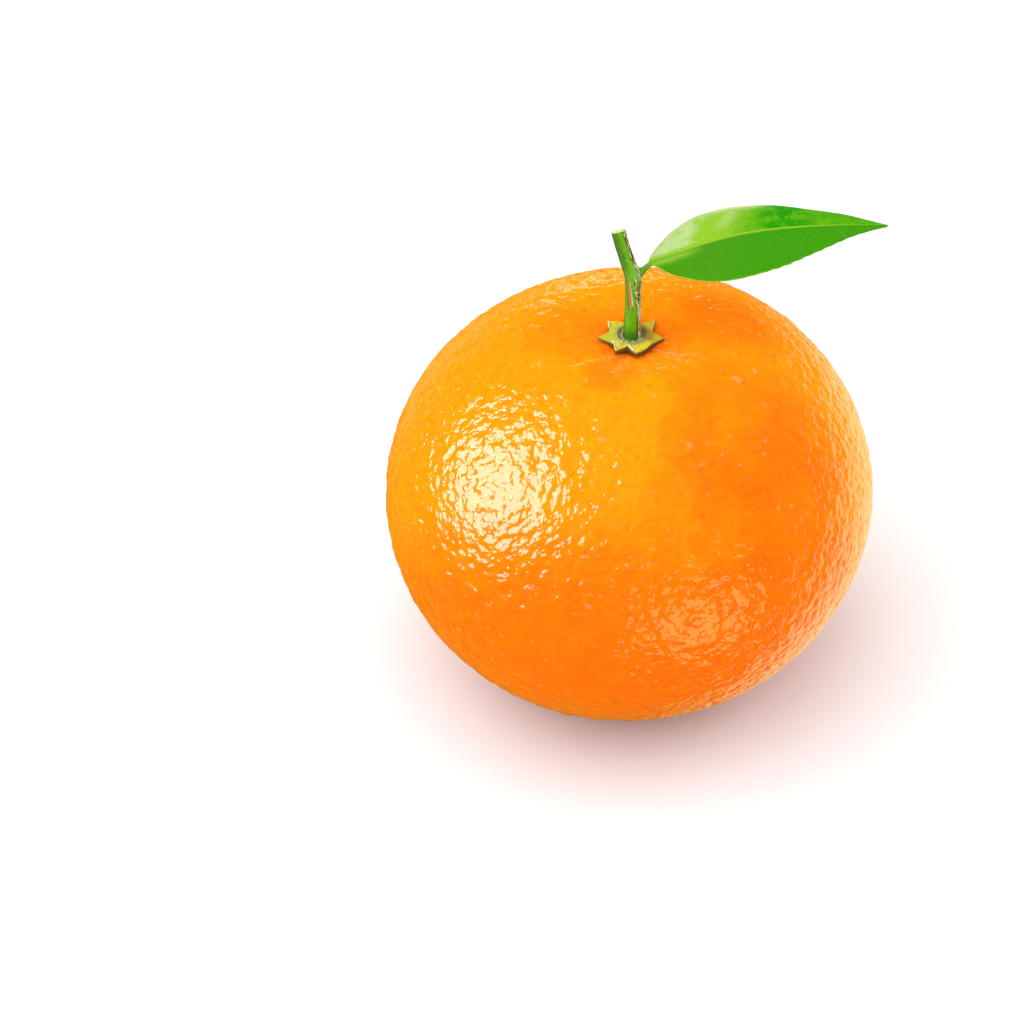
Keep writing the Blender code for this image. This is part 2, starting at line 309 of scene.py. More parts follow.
class CalyxSettings(bpy.types.PropertyGroup):
    """Sizes and colours of the calyx."""

    bearings: mesh_count("Bearings", "columns round the calyx", 480)
    curl: length("Curl", "Height of the pale dry lips on the lobes' edges", 0.2)
    flesh: colour("Flesh", "the lobes", "#B6A31A")
    green: colour("Greener flesh", "the lobes on the left", "#8F9A12")
    flesh_deep: colour("Deep flesh", "the lobes near the twig", "#8C8A14")
    lip: colour("Lip", "the pale dry lips", "#E4D6B4")
    # The underside colour is painted shade on the lobes' walls and undersides
    under: colour("Underside", "the lobes' walls and undersides", "#675414")
    ring: colour("Ring", "the wrinkled ring round the twig", "#6E7440")
    ring_pale: colour("Pale ring", "the ring's dry folds", "#B8A878")
    rust: colour("Rust", "the dry brown side", "#7A5414")


class TwigSettings(bpy.types.PropertyGroup):
    """Sizes and colours of the twig."""

    sides: mesh_count("Sides", "columns round the twig", 120)
    rings: mesh_count("Rings", "rings along the twig", 380)
    ridge: length("Ridge", "Height of the bark's long ridges", 0.025)
    green: colour("Green bark", "the young bark", "#5E9E05")
    green_deep: colour("Deep green bark", "the bark's dark flecks and its painted shade", "#3A6404")
    olive: colour("Olive bark", "the bark's brownish stretch, its cut rim and painted shade on its left", "#6A6418")
    foot: colour("Foot", "the bark at the foot", "#2C5C08")
    cork: colour("Cork", "the pale corky strands", "#B9B48E")
    crack: colour("Cracks", "the grooves beside the corky strands", "#4A3A16")
    joint: colour("Joint", "the smooth swelling at the joint", "#7E9A58")
    scar: colour("Scar", "the open scar", "#966A2A")
    pith: colour("Pith", "the cut end", "#BDBB80")


class LeafSettings(bpy.types.PropertyGroup):
    """Sizes and colours of the leaf."""

    sections: mesh_count("Sections", "sections along the leaf", 420)
    columns: mesh_count("Columns", "columns across each half", 34)
    thickness: length("Thickness", "Thickness of the blade", 0.32)
    vein_relief: length("Vein relief", "Depth of the side veins", 0.012)
    vein_spacing: length("Vein spacing", "Distance between side veins", 3.1)
    green: colour("Green", "the blade's near half", "#367902")
    green_deep: colour("Deep green", "the darkest patches", "#1A7B01")
    # The far half's lighter colours are painted light and sheen
    green_light: colour("Light green", "the outer far half", "#4A8C06")
    bloom_and_sheen: colour("Yellow green", "the far half near the stalk", "#739C1C")
    pale: colour("Pale green", "the pale patches and bands, partly painted sheen", "#95AB6E")
    vein: colour("Vein", "midrib, veins and edge", "#86A82A")
    under: colour("Underside", "the blade's underside", "#7FAE4A")
    stalk: colour("Stalk", "the stalk", "#4C8420")


class StageSettings(bpy.types.PropertyGroup):
    """Sizes and strengths of floor, tent, lights and surroundings."""

    floor_size: length("Floor", "Side of the square floor", 6000)
    floor: colour("Floor colour", "the floor", "#D2D2D2")
    tent: radiance("Tent", "the white tent that lights from all round", 0.9)
    tent_radius: length("Tent radius", "Radius of the white tent", 5000)
    soft_radiance: radiance("Soft light", "the large soft light", 2.05)
    soft_width: length("Soft width", "Diameter of the large soft light", 2000)
    back_radiance: radiance("Back light", "the soft light from the right behind", 2.8)
    back_width: length("Back width", "Diameter of the soft light from the right behind", 1200)
    key_radiance: radiance("Key light", "the key light in the gloss", 12.5)
    key_width: length("Key width", "Diameter of the key light", 580)
    streak: radiance("Streak", "the bright strip behind that shows in the gloss", 2.5)
    dim: radiance("Dim room", "the dim room that shows in the gloss", 0.04)
    wall: radiance("Wall", "the white wall that shows in the gloss", 1.5)
    left: radiance("Left wall", "the warm wall on the left that shows in the gloss", 0.6)
    wall_tint: colour("Wall colour", "the pale warm wall", "#FFF2D2")
    glow: radiance("Glow", "the warm glow from below in front", 5.2)
    glow_tint: colour("Glow colour", "the warm glow", "#FFE497")


def smooth_through(points, at):
    """Reads a smooth curve through rows of (parameter, values...) at the given parameters."""
    rows = np.array(points, float)
    knots, values = rows[:, 0], rows[:, 1:]
    slopes = np.gradient(values, knots, axis=0)
    at = np.clip(np.asarray(at, float), knots[0], knots[-1])
    left = np.clip(np.searchsorted(knots, at) - 1, 0, len(knots) - 2)
    span = (knots[left + 1] - knots[left])[:, None]
    t = (at - knots[left])[:, None] / span
    return (
        values[left] * (1 + 2 * t) * (1 - t) ** 2
        + slopes[left] * span * t * (1 - t) ** 2
        + values[left + 1] * t**2 * (3 - 2 * t)
        + slopes[left + 1] * span * t**2 * (t - 1)
    )


def ease(low, high, value):
    """Rises smoothly from 0 at low to 1 at high."""
    t = np.clip((value - low) / (high - low), 0, 1)
    return t * t * (3 - 2 * t)


def lump(value, width):
    """A bell of the given width, 1 in its middle."""
    return np.exp(-((value / width) ** 2))


def stacked(*parts):
    """Joins coordinates, each an array or one number, into points."""
    return np.stack(np.broadcast_arrays(*parts), axis=-1)


def unit(vectors):
    """Vectors of length 1 in the same directions."""
    return vectors / np.linalg.norm(vectors, axis=-1, keepdims=True)


def turn_from(bearing, angle):
    """How far a bearing is turned from an angle, between minus and plus half a turn."""
    return (bearing - angle + math.pi) % (2 * math.pi) - math.pi


def grain(points, size, offset=0.0):
    """Smooth noise between about -1 and 1, with features of the given size, at each point."""
    scaled = np.asarray(points, float).reshape(-1, 3) / size + offset
    values = [noise.noise(row) for row in scaled.tolist()]
    return np.array(values).reshape(np.shape(points)[:-1])


def grains(points, rows):
    """The sum of several grains, each of its own size, strength and offset."""
    return sum(strength * grain(points, size, offset) for size, strength, offset in rows)


def round_form_height(x, y):
    """Height of the leaning round form's upper side over a point of the ground plane."""
    lean_sin, lean_cos = math.sin(FRUIT_LEAN), math.cos(FRUIT_LEAN)
    wide, high = FRUIT_RADIUS**-2, POLE_RADIUS**-2
    a = lean_sin**2 * wide + lean_cos**2 * high
    b = 2 * x * lean_sin * lean_cos * (wide - high)
    c = x**2 * (lean_cos**2 * wide + lean_sin**2 * high) + y**2 * wide - 1
    return MIDDLE_HEIGHT + (-b + np.sqrt(b * b - 4 * a * c)) / (2 * a)


def from_top(x, y):
    """Distance and bearing of points of the ground plane from the middle of the calyx."""
    return np.hypot(x - TOP_X, y - TOP_Y), np.arctan2(y - TOP_Y, x - TOP_X)


def off_line(away, bearing, path):
    """How far points lie from a line that runs out from the calyx on a bearing."""
    turn = turn_from(bearing, path)
    return np.where(np.abs(turn) < math.pi / 2, away * np.sin(turn), away)


def dent(x, y):
    """How far the peel sinks round the calyx."""
    return DENT_DEPTH * lump(from_top(x, y)[0], DENT_RADIUS)


def furrows(x, y):
    """Depth of the furrows that run out from under the calyx and fade."""
    away, bearing = from_top(x, y)
    fade = np.clip((FURROW_END - away) / (FURROW_END - FURROW_START), 0, 1)
    fade = fade * np.clip(away / FURROW_START, 0, 1) ** 2
    depth = sum(lump(off_line(away, bearing, angle * DEGREE), FURROW_WIDTH) for angle in FURROW_ANGLES)
    return FURROW_DEPTH * fade * np.minimum(depth, 1)


def seat_height(x, y):
    """Height of the peel under the calyx, furrows left out."""
    return round_form_height(x, y) - dent(x, y)


def swell(toward):
    """How far the peel stands out or in, as the sum of broad low swells."""
    height = np.zeros(toward.shape[:-1])
    for bearing, elevation, rise in SWELLS:
        a, b = bearing * DEGREE, elevation * DEGREE
        middle = np.array((math.cos(a) * math.cos(b), math.sin(a) * math.cos(b), math.sin(b)))
        apart = np.arccos(np.clip(toward @ middle, -1, 1))
        height += rise * MM * lump(apart, SWELL_SPREAD)
    return height


def even_surface(toward):
    """Points of the even peel in the given directions, before its glands and creases."""
    axis = np.array((-math.sin(FRUIT_LEAN), 0, math.cos(FRUIT_LEAN)))
    along = toward @ axis
    reach = 1 / np.sqrt((1 - along**2) / FRUIT_RADIUS**2 + along**2 / POLE_RADIUS**2)
    flank = 1 - toward[..., 2] ** 2
    points = toward * (reach + swell(toward) * flank)[..., None]
    sunk = dent(points[..., 0], points[..., 1]) + furrows(points[..., 0], points[..., 1])
    sunk = np.where(toward[..., 2] > 0, sunk, 0)
    height = points[..., 2] + MIDDLE_HEIGHT - sunk
    eased = np.clip(height + FLAT_SPOT_ROUNDING, 0, 2 * FLAT_SPOT_ROUNDING) ** 2 / (4 * FLAT_SPOT_ROUNDING)
    points[..., 2] = np.where(height > FLAT_SPOT_ROUNDING, height, eased)
    return points


def mesh_object(name, points, faces, layers, flat_map=None):
    """A smooth-shaded object from points, faces and named values at its points."""
    mesh = bpy.data.meshes.new(name)
    corners = np.concatenate(faces).astype(np.int32)
    sizes = np.array([len(face) for face in faces])
    mesh.vertices.add(len(points))
    mesh.vertices.foreach_set("co", np.asarray(points, np.float32).ravel())
    mesh.loops.add(len(corners))
    mesh.loops.foreach_set("vertex_index", corners)
    mesh.polygons.add(len(sizes))
    mesh.polygons.foreach_set("loop_start", (np.cumsum(sizes) - sizes).astype(np.int32))
    mesh.update(calc_edges=True)
    if mesh.validate():
        raise RuntimeError(f"{name} has faces that don't fit together")
    for label, values in layers.items():
        layer = mesh.attributes.new(label, "FLOAT", "POINT")
        layer.data.foreach_set("value", np.asarray(values, np.float32).ravel())
    if flat_map is not None:
        mesh.uv_layers.new(name="OFBake").uv.foreach_set("vector", flat_map.astype(np.float32).ravel())
    mesh.shade_smooth()
    made = bpy.data.objects.new(name, mesh)
    bpy.context.scene.collection.objects.link(made)
    return made


def skin(name, rings, layers, flip=False):
    """Joins rings of equal count into one closed body whose two ends close on their middle points."""
    rows, count, _ = rings.shape
    points = np.vstack((rings[0].mean(0), rings.reshape(-1, 3), rings[-1].mean(0)))
    full = {k: np.concatenate(([v[0].mean()], v.ravel(), [v[-1].mean()])) for k, v in layers.items()}
    faces = []
    last = rows * count + 1
    for i in range(count):
        j = (i + 1) % count
        faces.append((0, 1 + j, 1 + i))
        for near in range(1, last - count, count):
            faces.append((near + i, near + j, near + count + j, near + count + i))
        faces.append((last, last - count + i, last - count + j))
    if flip:
        faces = [face[::-1] for face in faces]
    return mesh_object(name, points, faces, full)


def feed(tree, node, inputs):
    """Sets a node's inputs, each to a value or from the node or socket that feeds it."""
    for label, value in inputs.items():
        named = [s for s in node.inputs if s.enabled and label in (s.name, s.identifier)]
        socket = named[0] if named else node.inputs[label]
        if isinstance(value, bpy.types.Node):
            value = next(s for s in value.outputs if s.enabled)
        if isinstance(value, bpy.types.NodeSocket):
            tree.links.new(value, socket)
        elif socket.type == "RGBA":
            socket.default_value = (*value[:3], 1)
        else:
            socket.default_value = value


def add_node(tree, kind, inputs=None, **settings):
    """Adds a shader node with its settings and what feeds its inputs."""
    made = tree.nodes.new("ShaderNode" + kind)
    for setting, value in settings.items():
        setattr(made, setting, value)
    feed(tree, made, inputs or {})
    return made


def new_material(name, **sockets):
    """A Principled material with constant values on its shader's own sockets, and its object's place."""
    made = bpy.data.materials.new(name)
    made.use_nodes = True
    tree = made.node_tree
    shader = tree.nodes["Principled BSDF"]
    feed(tree, shader, {label.replace("_", " "): value for label, value in sockets.items()})
    return made, tree, shader, add_node(tree, "TexCoord").outputs["Object"]


def mixed(tree, factor, first, second, blend="MIX"):
    """Mixes two colours by a factor."""
    inputs = {"Factor": factor, "A": first, "B": second}
    return add_node(tree, "Mix", inputs, data_type="RGBA", blend_type=blend)


def painted(tree, tint, coats):
    """Lays colours over a tint, each where one of the mesh's named values says, up to its most."""
    for layer, shade, most in coats:
        value = add_node(tree, "Attribute", attribute_name=layer).outputs["Fac"]
        factor = add_node(tree, "MapRange", {"Value": value, "To Max": most})
        tint = mixed(tree, factor, tint, shade)
    return tint


def speckled(tree, place, tint, size, least, most):
    """Scales a colour by fine noise, between the least and the most."""
    fine = add_node(tree, "TexNoise", {"Vector": place, "Scale": 1 / size, "Detail": 3.0})
    reach = {"From Min": 0.35, "From Max": 0.65, "To Min": least, "To Max": most}
    share = add_node(tree, "MapRange", {"Value": fine, **reach})
    tone = add_node(tree, "CombineColor", {"Red": share, "Green": share, "Blue": share})
    return mixed(tree, 1.0, tint, tone, "MULTIPLY")


def finish_piece(piece, material, node):
    """Gives a piece its material and its place in the frame."""
    piece.data.materials.append(material)
    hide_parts(node)
    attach(piece, "root")


def even_grid(cells):
    """Directions of an even grid over the sphere, its faces, and a map that lays its six sides flat."""
    line = np.tan(np.linspace(-1, 1, cells + 1) * math.pi / 4)
    u, v = np.meshgrid(line, line, indexing="ij")
    sides = ((1, u, v), (-1, -u, v), (-u, 1, v), (u, -1, v), (u, v, 1), (u, -v, -1))
    points = unit(np.concatenate([stacked(*side).reshape(-1, 3) for side in sides]))
    _, kept, merged = np.unique(np.round(points * 1e6), axis=0, return_index=True, return_inverse=True)
    i, j = np.meshgrid(np.arange(cells), np.arange(cells), indexing="ij")
    row = cells + 1
    corner = i * row + j
    quads = stacked(corner, corner + row, corner + row + 1, corner + 1).reshape(-1, 4)
    faces = np.concatenate([quads + side * row * row for side in range(6)])
    at = stacked(*np.divmod(np.arange(row * row), row)) / cells
    flat = np.concatenate([(at * 0.97 + 0.015 + (side % 3, side // 3)) / (3, 2) for side in range(6)])
    return points[kept], merged.reshape(-1)[faces], flat[faces.ravel()]


def gland_pits(points, settings):
    """How deep each point lies in the pit of an oil gland, in metres."""
    area = 4 * math.pi * FRUIT_RADIUS * POLE_RADIUS
    count = int(area / settings.gland_spacing**2)
    rng = np.random.default_rng(GLAND_SEED)
    step = np.arange(count) + 0.5
    bearing = step * GOLDEN_TURN
    height = 1 - 2 * step / count
    level = np.sqrt(1 - height**2)
    toward = stacked(level * np.cos(bearing), level * np.sin(bearing), height)
    toward += rng.normal(0, GLAND_SCATTER * settings.gland_spacing / FRUIT_RADIUS, toward.shape)
    share = rng.random(count)
    radii = settings.gland_small + (settings.gland_large - settings.gland_small) * share**1.5
    depths = settings.gland_depth * rng.uniform(0.25, 1, count)
    floors = np.clip(share - 0.35, 0, 0.45)
    tree = kdtree.KDTree(len(points))
    for index, point in enumerate(points.tolist()):
        tree.insert(point, index)
    tree.balance()
    depth = np.zeros(len(points))
    glands = np.column_stack((even_surface(unit(toward)), radii, depths, floors))
    for *middle, radius, deepest, floor in glands.tolist():
        for _, index, away in tree.find_range(middle, radius):
            t = max(0.0, (away / radius - floor) / (1 - floor))
            depth[index] = max(depth[index], deepest * (1 - t * t * (3 - 2 * t)))
    return depth


def creases(x, y):
    """1 along the fine creases round the calyx, 0 away from them."""
    away, bearing = from_top(x, y)
    found = np.zeros_like(away)
    for angle, start, end, bend in CREASES:
        path = angle * DEGREE + 0.09 * bend * np.sin(away / (1.3 * MM)) + 0.03 * np.sin(away / (0.45 * MM))
        fade = ease((start - 1) * MM, start * MM, away) * (1 - ease(0.5 * end * MM, end * MM, away))
        found = np.maximum(found, lump(off_line(away, bearing, path), CREASE_WIDTH) * fade)
    return found


def build_peel(settings):
    """The peel as one closed skin, with swells, low bumps, gland pits, creases and blossom-end scar."""
    toward, faces, flat_map = even_grid(settings.cells)
    even = even_surface(toward)
    above = toward[:, 2] > 0
    away, _ = from_top(even[:, 0], even[:, 1])
    pits = gland_pits(even, settings)
    crease = above * creases(even[:, 0], even[:, 1])
    at = even / MM
    near_calyx = above * (1 - ease(*SHALLOW_RING, away))
    relief = settings.unevenness * grains(at, PEEL_BUMPS) - pits * (1 - 0.7 * near_calyx)
    relief -= settings.crease_depth * crease
    points = even + toward * relief[:, None]
    # The flat spot stays level: there the relief only reaches up into the fruit
    low = ~above * (1 - ease(0, LEVEL_HEIGHT, even[:, 2]))
    level = even[:, 2] + pits * 0.8 + 0.02 * MM
    points[:, 2] += (level - points[:, 2]) * low
    from_scar = np.hypot(even[:, 0] - BLOSSOM_X, even[:, 1] - BLOSSOM_Y)
    scar = ~above * (1 - ease(*BLOSSOM_EDGE, from_scar + 0.3 * MM * grain(at, 0.9)))
    points[:, 2] += ~above * (BLOSSOM_HOLLOW * lump(from_scar, BLOSSOM_SPREAD) - BLOSSOM_SCAR * scar)
    points[:, 2] = np.maximum(points[:, 2], 0)
    patchy = grains(at, PEEL_PATCHES)
    # Painted shade and ripeness: the peel is coloured deeper in these patches
    pale = np.ones(len(even))
    for middle, start, full, share in RIPE_AND_SHADED_PATCHES:
        pale *= 1 - share * ease(start, full, toward @ np.array(middle) + patchy * (full - start) / 0.4)
    ragged = away + 0.8 * MM * grain(at, 1.8, 1.7)
    layers = {
        "ripe_and_shade": 1 - pale + 0.15 * grain(at, 3, 8.8),
        "pit": pits / settings.gland_depth,
        "crease": crease,
        # Painted shade round the calyx: a deeper colour over the dent and a darker ring right beside it
        "collar": above * lump(away, COLLAR_SPREAD),
        "shade": above * (1 - ease(*SHADE_RING, ragged)),
        "scar": scar,
    }
    return mesh_object("peel", points, faces, layers, flat_map)


def peel_material(settings):
    """Grown mandarin peel under its own natural wax: a saturated orange rind whose smooth wax gives
    crisp gloss, broken into flecks by oil glands and pores about a millimetre apart."""
    made, tree, shader, place = new_material(
        "Grown mandarin peel with its wax",
        IOR=1.45,
        Sheen_Weight=0.35,
        Sheen_Roughness=0.4,
        Sheen_Tint=linear("#FFCF00"),
    )
    coats = (
        ("ripe_and_shade", settings.deep, 1.0),
        ("pit", settings.deep, 0.25),
        ("collar", settings.collar, 0.7),
        ("shade", settings.shade, 0.35),
        # Painted highlight: pale colour along the creases
        ("crease", settings.crease, 0.35),
        ("scar", settings.scar, 0.9),
    )
    tint = painted(tree, settings.light, coats)
    # Sparse raised specks, each a small round spot in about one cell of three and painted pale as a glint,
    # and thin dry streaks
    spots = add_node(tree, "TexVoronoi", {"Vector": place, "Scale": 1 / settings.speck_spacing})
    spot = add_node(tree, "MapRange", {"Value": spots.outputs["Distance"], "From Min": 0.2, "From Max": 0.08})
    draw = add_node(tree, "SeparateColor", {"Color": spots.outputs["Color"]})
    chosen = add_node(tree, "MapRange", {"Value": draw, "From Min": 0.6, "From Max": 0.8})
    speck = add_node(tree, "Math", {0: spot, 1: chosen}, operation="MULTIPLY")
    drawn = add_node(tree, "VectorMath", {0: place, 1: (0.35, 0.35, 1.0)}, operation="MULTIPLY")
    streaks = add_node(tree, "TexNoise", {"Vector": drawn, "Scale": 1 / settings.streak_width, "Detail": 1.0})
    streak = add_node(tree, "MapRange", {"Value": streaks, "From Min": 0.7, "From Max": 0.77})
    # Pale colour on the specks, a painted glint, and on the streaks
    for mark, most in ((speck, 0.3), (streak, 0.25)):
        tint = mixed(tree, add_node(tree, "MapRange", {"Value": mark, "To Max": most}), tint, settings.crease)
    fine = add_node(tree, "TexNoise", {"Vector": place, "Scale": 1 / (2.2 * MM), "Detail": 3.0})
    reach = {"From Min": 0.3, "From Max": 0.7, "To Min": 0.05, "To Max": 0.09}
    rough = add_node(tree, "MapRange", {"Value": fine, **reach})
    # The pores are not quite round, so the place is shifted a little before it is read
    wander = add_node(tree, "TexNoise", {"Vector": place, "Scale": 1 / (0.8 * MM), "Detail": 1.0})
    half = (0.5 * MM, 0.5 * MM, 0.5 * MM)
    shift = add_node(tree, "VectorMath", {0: wander.outputs["Color"], 1: half}, operation="MULTIPLY")
    shifted = add_node(tree, "VectorMath", {0: place, 1: shift}, operation="ADD")
    pores = add_node(tree, "TexVoronoi", {"Vector": shifted, "Scale": 1 / settings.pore_spacing})
    wall = add_node(tree, "MapRange", {"Value": pores.outputs["Distance"], "From Max": 0.28})
    draw = add_node(tree, "SeparateColor", {"Color": pores.outputs["Color"]})
    deepness = add_node(tree, "MapRange", {"Value": draw, "From Min": 0.4})
    smooth = {"interpolation_type": "SMOOTHSTEP"}
    bowl = add_node(tree, "MapRange", {"Value": wall, "To Min": 1.0, "To Max": 0.0}, **smooth)
    hollow = add_node(tree, "Math", {0: bowl, 1: deepness}, operation="MULTIPLY")
    bump = add_node(tree, "Bump", {"Height": hollow, "Distance": settings.pore_depth}, invert=True)
    for size, height in ((1.05 * MM, 0.2 * MM), (0.45 * MM, 0.085 * MM)):
        skin_grain = add_node(tree, "TexNoise", {"Vector": place, "Scale": 1 / size, "Detail": 0.0})
        bump = add_node(tree, "Bump", {"Height": skin_grain, "Distance": height, "Normal": bump})
    for mark, height in ((speck, settings.speck_height), (streak, settings.streak_height)):
        bump = add_node(tree, "Bump", {"Height": mark, "Distance": height, "Normal": bump})
    tint = speckled(tree, place, tint, 1.3 * MM, 0.93, 1.05)
    feed(tree, shader, {"Base Color": tint, "Roughness": rough, "Normal": bump})
    return made


def on_side(bearing, middle, full, end):
    """1 as far as full from a middle bearing and 0 beyond end, these three in degrees."""
    return 1 - ease(full * DEGREE, end * DEGREE, np.abs(turn_from(bearing, middle * DEGREE)))


def lobe_reach(bearing):
    """Reach of the calyx's edge at each bearing, straight from lobe tip to notch and back."""
    corners = []
    for (angle, reach, _, notch), (next_angle, next_reach, _, _) in zip(LOBES, LOBES[1:] + LOBES[:1]):
        turn = (next_angle - angle) % 360
        corners.append((angle * DEGREE, reach * MM))
        corners.append(((angle + turn / 2) * DEGREE, notch * min(reach, next_reach) * MM))
    found = np.zeros_like(bearing)
    for (angle, reach), (next_angle, next_reach) in zip(corners, corners[1:] + corners[:1]):
        turn = (next_angle - angle) % (2 * math.pi)
        into = (bearing - angle) % (2 * math.pi)
        edge = reach * next_reach * math.sin(turn)
        edge = edge / np.maximum(reach * np.sin(into) + next_reach * np.sin(turn - into), 1e-9)
        found = np.where(into < turn, edge, found)
    return found


def build_calyx(settings):
    """A dry star-edged button: pit floor, wrinkled collar and thinning lobes with a few curled lips."""
    bearing = np.arange(settings.bearings) * 2 * math.pi / settings.bearings
    around = stacked(np.cos(bearing), np.sin(bearing), 0)
    reach = lobe_reach(bearing) + grains(around, LOBE_EDGES) * MM
    lift = sum(rise * MM * lump(turn_from(bearing, angle * DEGREE), 0.2) for angle, _, rise, _ in LOBES)
    lipped = np.zeros_like(bearing)
    for first, last in LIPS:
        half = (last - first) / 2
        lipped = np.maximum(lipped, on_side(bearing, first + half, 0.7 * half, half))
    inner = np.linspace(0.12, 1, 12) * PIT_RADIUS
    collar = PIT_RADIUS + np.linspace(0.12, 1, 8) * (COLLAR_RADIUS - PIT_RADIUS)
    shares = np.array((*np.linspace(0.05, 0.92, 24), 0.945, 0.965, 0.982, 0.993, 1.0))[:, None]
    ways = np.concatenate((inner, collar))[:, None] * np.ones_like(reach)
    ways = np.concatenate((ways, COLLAR_RADIUS + shares * (reach - COLLAR_RADIUS)))
    x = TOP_X + ways * np.cos(bearing)
    y = TOP_Y + ways * np.sin(bearing)
    outward = np.clip((ways - COLLAR_RADIUS) / (LOBE_END - COLLAR_RADIUS), 0, 1)
    to_edge = np.clip((ways - COLLAR_RADIUS) / (reach - COLLAR_RADIUS), 0, 1)
    below = seat_height(x, y) + CALYX_SEAT + lift * to_edge**2
    ring = ease(PIT_RADIUS, COLLAR_RADIUS, ways)
    thick = PIT_FLOOR + (COLLAR_HEIGHT - PIT_FLOOR) * ring - (COLLAR_HEIGHT - TIP_THICKNESS) * outward**0.6
    flat = stacked(x, y, 0)
    coarse, fine = grain(flat, 0.5 * MM), grain(flat, 0.22 * MM, 9.0)
    on_ring = 1 - ease(0.9 * COLLAR_RADIUS, 1.3 * COLLAR_RADIUS, ways)
    wrinkle = (0.05 + 0.09 * on_ring) * MM * coarse + (0.015 + 0.02 * on_ring) * MM * fine
    lip = settings.curl * lipped * lump(to_edge - 0.95, 0.05) * (ways > COLLAR_RADIUS)
    drop = np.sqrt(1 - np.clip((to_edge - 0.94) / 0.06, 0, 1) ** 2)
    above = below + (thick + wrinkle) * (0.5 + 0.5 * drop) + lip
    rings = np.concatenate((stacked(x, y, below), stacked(x, y, above)[::-1]))
    inside = 1 - ease(2.3 * MM, 3.6 * MM, ways + 0.3 * MM * coarse)
    tops = {
        "outward": to_edge / FLESH_SHARE,
        "green": on_side(bearing, *GREEN_SIDE) * (0.8 + 0.4 * coarse),
        "ring": on_ring,
        "fold": 0.7 * on_ring * ease(-0.15, 0.35, coarse + 0.3 * fine),
        "rust": on_side(bearing, *RUST_SIDE) * (0.3 + 0.6 * inside + 0.3 * fine),
        # Painted shade: the dark colour on the lobes' walls and undersides
        "under": ease(0.955, 0.99, to_edge),
        "lip": lipped * ease(0.88, 0.93, to_edge) * (1 - ease(0.985, 1.0, to_edge)),
    }
    layers = {k: np.concatenate((np.full_like(ways, k == "under"), top[::-1])) for k, top in tops.items()}
    return skin("calyx_star", rings, layers)


def calyx_material(settings):
    """Dried calyx: thick matt yellow-green sepals, shrunk and wrinkled, with a few pale papery lips."""
    made, tree, shader, place = new_material("Dried calyx, grown", Roughness=0.6, IOR=1.35)
    coats = (
        ("outward", settings.flesh, 1.0),
        ("green", settings.green, 0.8),
        ("ring", settings.ring, 0.85),
        ("fold", settings.ring_pale, 0.8),
        ("rust", settings.rust, 0.8),
        ("under", settings.under, 1.0),
        ("lip", settings.lip, 1.0),
    )
    tint = speckled(tree, place, painted(tree, settings.flesh_deep, coats), 0.9 * MM, 0.85, 1.08)
    fibre = add_node(tree, "TexNoise", {"Vector": place, "Scale": 1 / (0.22 * MM), "Detail": 3.0})
    bump = add_node(tree, "Bump", {"Height": fibre, "Distance": 0.03 * MM})
    feed(tree, shader, {"Base Color": tint, "Normal": bump})
    return made


